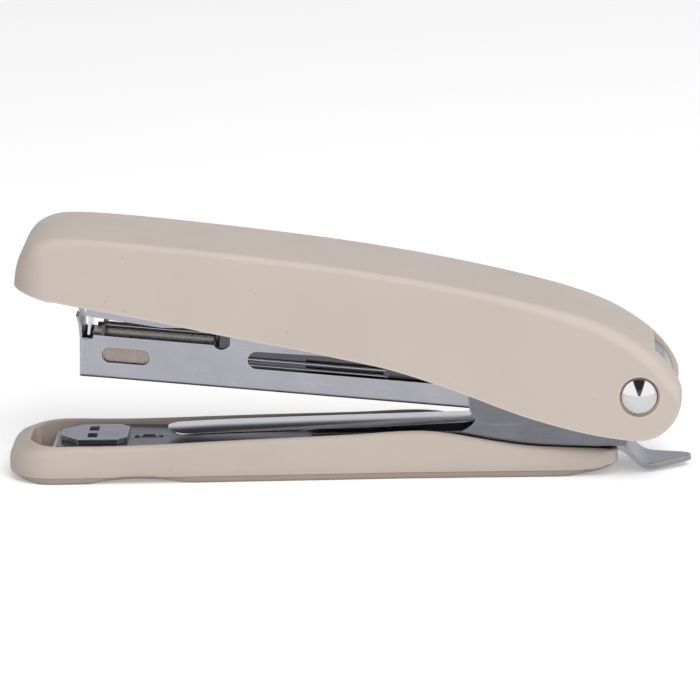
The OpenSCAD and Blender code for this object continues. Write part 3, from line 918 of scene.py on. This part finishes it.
build_cover()
build_cover_details()
build_base()
leaf = strip_piece("return_leaf", "return_spring", "return_spring", spring_steel, 90, 0.55, 0.45, 0.12)
tab = strip_piece("remover_tab", "staple_remover", "base", remover_steel, 60, 0.0, 1.0, 0.22)
handle_leaf = strip_piece("handle_leaf", "handle_spring", "handle", spring_steel, 60, 0.0, 0.4, 0.08,
                          pressed_leaf())
channel = refined_copy("magazine_channel", "magazine_body", "magazine", plated_steel, 0.85, 0.06)
build_staples()
build_pusher_spring()
build_nose_flaps()
build_flange_lips()
build_pusher_beads()

finish_node("base_frame", frame_steel, 0.1)
finish_node("anvil", anvil_steel, 0.16)
finish_node("nose_plate", plated_steel, 0.1)
finish_node("staple_rail", dark_steel)
finish_node("rod_bridge", dark_steel, 0.06)
finish_node("rod_bracket", plated_steel, 0.06)
finish_node("guide_rod", chrome, 0.1)
finish_node("pusher", dark_steel, 0.06)
finish_node("handle_frame", handle_steel, 0.1)
finish_node("driver", chrome, 0.05)
for fastener in ("remover_rivets", "rail_rivets", "spring_rivets", "driver_rivets",
                 "handle_spring_rivet"):
    finish_node(fastener, chrome)
for head in ("pivot_pin", "pivot_cap"):
    finish_node(head, chrome, 0.12)


# ---------------------------------------------------------------- stage

SWEEP_LIFT = 0.36
FLOOR_HALF = 3.0


def build_stage():
    floor_material, nodes, links = node_material("pale_floor")
    shader = nodes["Principled BSDF"]
    coords = nodes.new("ShaderNodeTexCoord").outputs["Object"]
    tone = ramp(nodes, links, noise(nodes, links, coords, 3.0), [(0.3, grey(0.86)), (0.7, grey(0.9))])
    links.new(tone, shader.inputs["Base Color"])
    shader.inputs["Roughness"].default_value = 0.9
    shader.inputs["Specular IOR Level"].default_value = 0.1
    # A paper sweep that is lit on its own, so the camera sees it almost white
    lift = nodes.new("ShaderNodeMath")
    lift.operation = "MULTIPLY"
    lift.inputs[1].default_value = SWEEP_LIFT
    links.new(nodes.new("ShaderNodeLightPath").outputs["Is Camera Ray"], lift.inputs[0])
    shader.inputs["Emission Color"].default_value = (1, 1, 1, 1)
    links.new(lift.outputs[0], shader.inputs["Emission Strength"])
    mesh = bpy.data.meshes.new("floor")
    corners = [(FLOOR_HALF * i, FLOOR_HALF * j, 0) for i, j in ((-1, -1), (1, -1), (1, 1), (-1, 1))]
    mesh.from_pydata(corners, [], [(0, 1, 2, 3)])
    mesh.materials.append(floor_material)
    floor = bpy.data.objects.new("floor", mesh)
    scene.collection.objects.link(floor)
    floor.location.z = -0.02 * MM


def area_light(name, place, target, size, power):
    """A square lamp that lights the object without showing in its polished surfaces."""
    data = bpy.data.lights.new(name, "AREA")
    data.energy = power
    data.size = size
    lamp = bpy.data.objects.new(name, data)
    scene.collection.objects.link(lamp)
    lamp.location = place
    lamp.visible_glossy = False
    direction = Vector(target) - Vector(place)
    lamp.rotation_euler = direction.to_track_quat("-Z", "Y").to_euler()


def build_world():
    """Almost white to the camera, and an even grey to matt surfaces, brighter in front and to the
    right. Polished surfaces see two soft boxes on the camera's side, with a gap between them that
    widens upwards, a pale backdrop low behind the object, and a dim room elsewhere."""
    world = bpy.data.worlds.new("studio")
    scene.world = world
    world.use_nodes = True
    nodes, links = world.node_tree.nodes, world.node_tree.links
    background = nodes["Background"]
    split = nodes.new("ShaderNodeSeparateXYZ")
    links.new(nodes.new("ShaderNodeTexCoord").outputs["Generated"], split.inputs["Vector"])

    def math_node(operation, a, b=None):
        node = nodes.new("ShaderNodeMath")
        node.operation = operation
        for socket, item in zip(node.inputs, (a, b)):
            if item is None:
                continue
            if isinstance(item, (int, float)):
                socket.default_value = item
            else:
                links.new(item, socket)
        return node.outputs[0]

    def step(value, low, high):
        node = nodes.new("ShaderNodeMapRange")
        node.interpolation_type = "SMOOTHSTEP"
        links.new(value, node.inputs["Value"])
        node.inputs["From Min"].default_value = low
        node.inputs["From Max"].default_value = high
        return node.outputs["Result"]

    x, y, z = (split.outputs[k] for k in "XYZ")
    raised = math_node("MULTIPLY", math_node("MAXIMUM", z, 0.0), 0.38)
    side = step(math_node("SUBTRACT", math_node("ABSOLUTE", x), raised), 0.03, 0.14)
    front = step(math_node("MULTIPLY", y, -1.0), -0.1, 0.15)
    boxes = math_node("MULTIPLY", side, front)
    room = ramp(nodes, links, step(z, 0.0, 1.0),
                [(0.0, (0.115, 0.12, 0.15)), (0.25, (0.10, 0.105, 0.13)), (0.6, (0.03, 0.03, 0.035)),
                 (1.0, (0.03, 0.03, 0.03))])
    low_down = step(math_node("MULTIPLY", z, -1.0), -0.5, -0.28)
    backdrop = math_node("MULTIPLY", step(y, 0.2, 0.6), low_down)
    room = mix(nodes, links, backdrop, room, (0.58, 0.58, 0.61))
    mirrored = mix(nodes, links, boxes, room, (1.12, 1.07, 1.03))
    sky = mix(nodes, links, step(math_node("MULTIPLY", y, -1.0), -0.6, 0.8), grey(0.36), grey(0.45))
    sky = mix(nodes, links, 1.0, sky, math_node("ADD", math_node("MULTIPLY", x, 0.4), 1.0), "MULTIPLY")
    path = nodes.new("ShaderNodeLightPath")
    colour = mix(nodes, links, path.outputs["Is Glossy Ray"], sky, mirrored)
    colour = mix(nodes, links, path.outputs["Is Camera Ray"], colour, grey(0.96))
    links.new(colour, background.inputs["Color"])
    background.inputs["Strength"].default_value = 1.0


VIEW_ELEVATION = 14.0
VIEW_AZIMUTH = -2.0
VIEW_ROLL = 1.0
VIEW_HEIGHT = 0.4797
VIEW_DISTANCE = 828.2
LENS_RATIO = 6.643
SENSOR = 36.0


def build_camera():
    low, high = cad_bounds
    aim = Vector(((low.x + high.x) / 2 + 0.25 * MM, 0, VIEW_HEIGHT * high.z))
    e, a, r = (math.radians(v) for v in (VIEW_ELEVATION, VIEW_AZIMUTH, VIEW_ROLL))
    forward = Vector((math.sin(a) * math.cos(e), math.cos(a) * math.cos(e), -math.sin(e)))
    right = Vector((math.cos(a), -math.sin(a), 0))
    up = right.cross(forward)
    right, up = right * math.cos(r) - up * math.sin(r), up * math.cos(r) + right * math.sin(r)
    data = bpy.data.cameras.new("camera")
    data.sensor_width = SENSOR
    data.lens = SENSOR * LENS_RATIO
    data.clip_start = 0.01
    data.clip_end = 20
    camera = bpy.data.objects.new("camera", data)
    scene.collection.objects.link(camera)
    place = aim - forward * VIEW_DISTANCE * MM
    basis = Matrix((right, up, -forward)).transposed().to_4x4()
    camera.matrix_world = Matrix.Translation(place) @ basis
    scene.camera = camera


scene.view_settings.view_transform = "Standard"
build_stage()
build_world()
build_camera()
area_light("overhead", (0.2, -0.25, 0.9), (0, 0, 0), 0.9, 2.7)
area_light("key", (0.2, -0.66, 0.68), (0, 0, 0.02), 0.5, 4.1)
